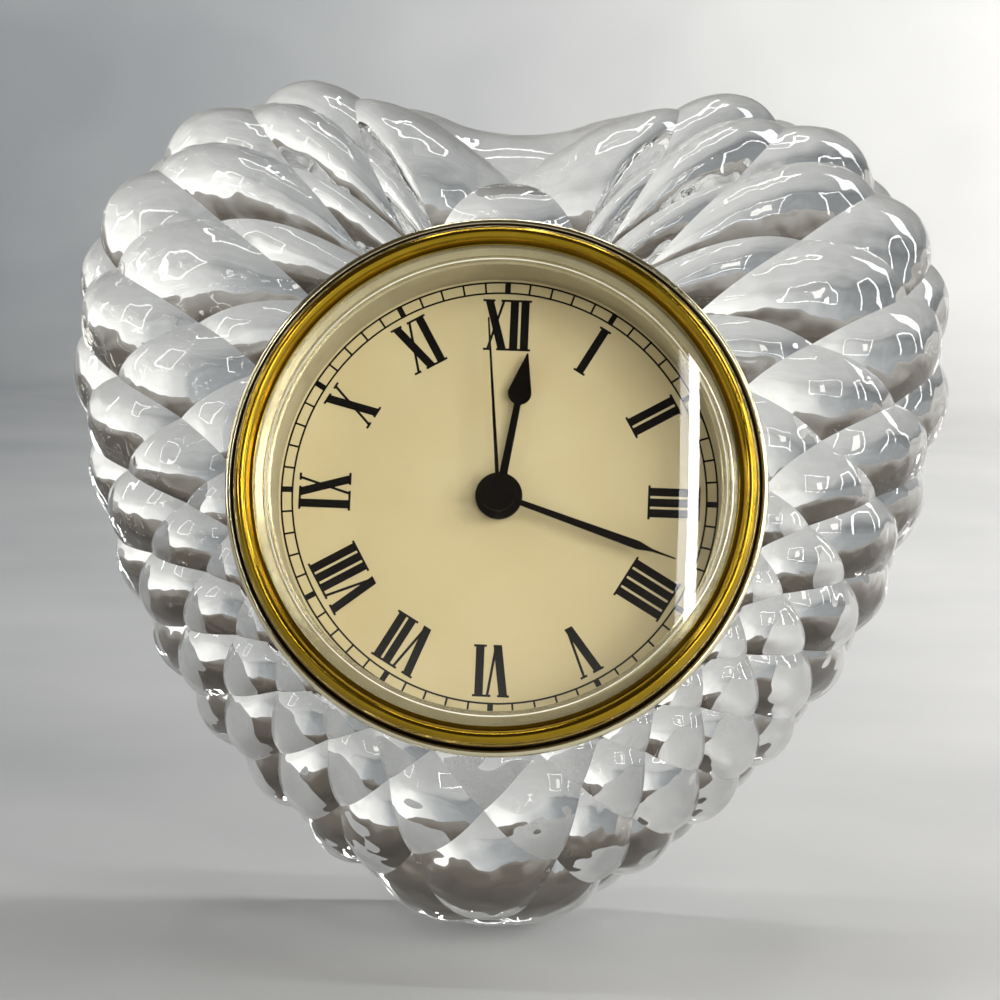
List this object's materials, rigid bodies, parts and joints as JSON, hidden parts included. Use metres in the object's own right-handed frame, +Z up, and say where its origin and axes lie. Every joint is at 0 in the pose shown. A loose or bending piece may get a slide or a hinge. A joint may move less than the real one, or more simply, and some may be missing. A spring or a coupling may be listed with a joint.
{
  "type": "desk clock",
  "caption": "Heart-shaped desk clock of diamond-cut clear crystal with a round quartz insert, polished bezel, domed lens, cream dial and black hands.",
  "frame": {"origin": "middle of the flat ground foot on which the crystal stands", "axes": "+Z up; the dial faces -Y and leans back 15 degrees, +X is to the right seen from the front"},
  "size_m": [0.104, 0.0622, 0.0982],
  "materials": {
    "crystal": "cut and polished clear crystal",
    "polished_brass": "mirror polished, lacquered",
    "lens_glass": "clear, domed",
    "ring_plastic": "pale silvery cream",
    "dial_face": "satin cream lacquer with black print",
    "case_plastic": "moulded white",
    "gasket_rubber": "soft translucent white",
    "movement_plastic": "moulded",
    "cover_plastic": "moulded",
    "gear_plastic": "moulded acetal",
    "gear_brass": "cut brass",
    "screw_steel": "bright zinc",
    "stem_steel": "turned",
    "cell_steel": "nickel-plated",
    "contact_brass": "thin spring strip",
    "board": "green resist on glass-fibre board",
    "chip_resin": "black resin drop",
    "soft_iron": "stamped",
    "copper_wire": "enamelled copper wire, wound",
    "magnet": "sintered magnet",
    "hand_black": "gloss black",
    "knob_plastic": "moulded, gripped edge"
  },
  "bodies": {
    "crystal": {"crystal_heart": "crystal"},
    "insert": {"bezel_ring": "polished_brass", "lens": "lens_glass", "reflector_ring": "ring_plastic", "dial_plate": "dial_face", "insert_case": "case_plastic", "ribbed_gasket": "gasket_rubber", "front_plate": "movement_plastic", "middle_plate": "movement_plastic", "train_bridge": "movement_plastic", "bridge_screws": "screw_steel", "back_cover": "cover_plastic", "cover_screws": "screw_steel", "button_cell": "cell_steel", "contact_positive": "contact_brass", "contact_negative": "contact_brass", "circuit_board": "board", "board_screws": "screw_steel", "driver_chip": "chip_resin", "crystal_can": "cell_steel", "coil_core": "soft_iron", "coil_bobbin": "movement_plastic", "coil_winding": "copper_wire", "coil_screws": "screw_steel", "stator": "soft_iron"},
    "minute": {"cannon_pinion": "gear_brass", "minute_hand": "hand_black"},
    "hour": {"hour_wheel": "gear_plastic", "hour_hand": "hand_black"},
    "minute_works": {"minute_wheel": "gear_plastic"},
    "setting": {"setting_stem": "stem_steel", "setting_knob": "knob_plastic"},
    "seconds": {"seconds_wheel": "gear_plastic", "second_hand": "hand_black"},
    "third": {"third_wheel": "gear_plastic"},
    "centre": {"centre_wheel": "gear_brass"},
    "fifth": {"fifth_wheel": "gear_plastic"},
    "rotor": {"rotor_arbor": "gear_plastic", "rotor_magnet": "magnet"},
    "battery_door": {"battery_cover": "cover_plastic"}
  },
  "joints": [
    {"name": "insert_pull", "type": "slide", "parent": "crystal", "child": "insert", "axis": [0, -0.9659, 0.2588], "range_m": [0, 0.03]},
    {"name": "minute_turn", "type": "hinge", "parent": "insert", "child": "minute", "pos_m": [0, -0.01846, 0.0538], "axis": [0, 0.9659, -0.2588], "continuous": true},
    {"name": "hour_turn", "type": "hinge", "parent": "insert", "child": "hour", "pos_m": [0, -0.01846, 0.0538], "axis": [0, 0.9659, -0.2588], "continuous": true},
    {"name": "minute_wheel_turn", "type": "hinge", "parent": "insert", "child": "minute_works", "pos_m": [0.00658, -0.01908, 0.05149], "axis": [0, 0.9659, -0.2588], "continuous": true},
    {"name": "setting_turn", "type": "hinge", "parent": "insert", "child": "setting", "pos_m": [0.01316, -0.0197, 0.04917], "axis": [0, 0.9659, -0.2588], "continuous": true},
    {"name": "seconds_turn", "type": "hinge", "parent": "insert", "child": "seconds", "pos_m": [0, -0.01846, 0.0538], "axis": [0, 0.9659, -0.2588], "continuous": true},
    {"name": "third_turn", "type": "hinge", "parent": "insert", "child": "third", "pos_m": [-0.00624, -0.01752, 0.05728], "axis": [0, 0.9659, -0.2588], "continuous": true},
    {"name": "centre_turn", "type": "hinge", "parent": "insert", "child": "centre", "pos_m": [0, -0.01846, 0.0538], "axis": [0, 0.9659, -0.2588], "continuous": true},
    {"name": "fifth_turn", "type": "hinge", "parent": "insert", "child": "fifth", "pos_m": [0.0035, -0.01689, 0.05966], "axis": [0, 0.9659, -0.2588], "continuous": true},
    {"name": "rotor_turn", "type": "hinge", "parent": "insert", "child": "rotor", "pos_m": [0.00819, -0.01587, 0.06346], "axis": [0, 0.9659, -0.2588], "continuous": true},
    {"name": "battery_door_turn", "type": "hinge", "parent": "insert", "child": "battery_door", "pos_m": [0, -0.02234, 0.03931], "axis": [0, -0.9659, 0.2588], "range_deg": [0, 60]}
  ],
  "couplings": [
    {"joint": "hour_turn", "follows": "minute_turn", "ratio": 0.083333},
    {"joint": "minute_wheel_turn", "follows": "minute_turn", "ratio": -0.33333},
    {"joint": "setting_turn", "follows": "minute_turn", "ratio": 1},
    {"joint": "third_turn", "follows": "seconds_turn", "ratio": -0.13333},
    {"joint": "centre_turn", "follows": "seconds_turn", "ratio": 0.016667},
    {"joint": "fifth_turn", "follows": "seconds_turn", "ratio": -4},
    {"joint": "rotor_turn", "follows": "seconds_turn", "ratio": 30}
  ]
}
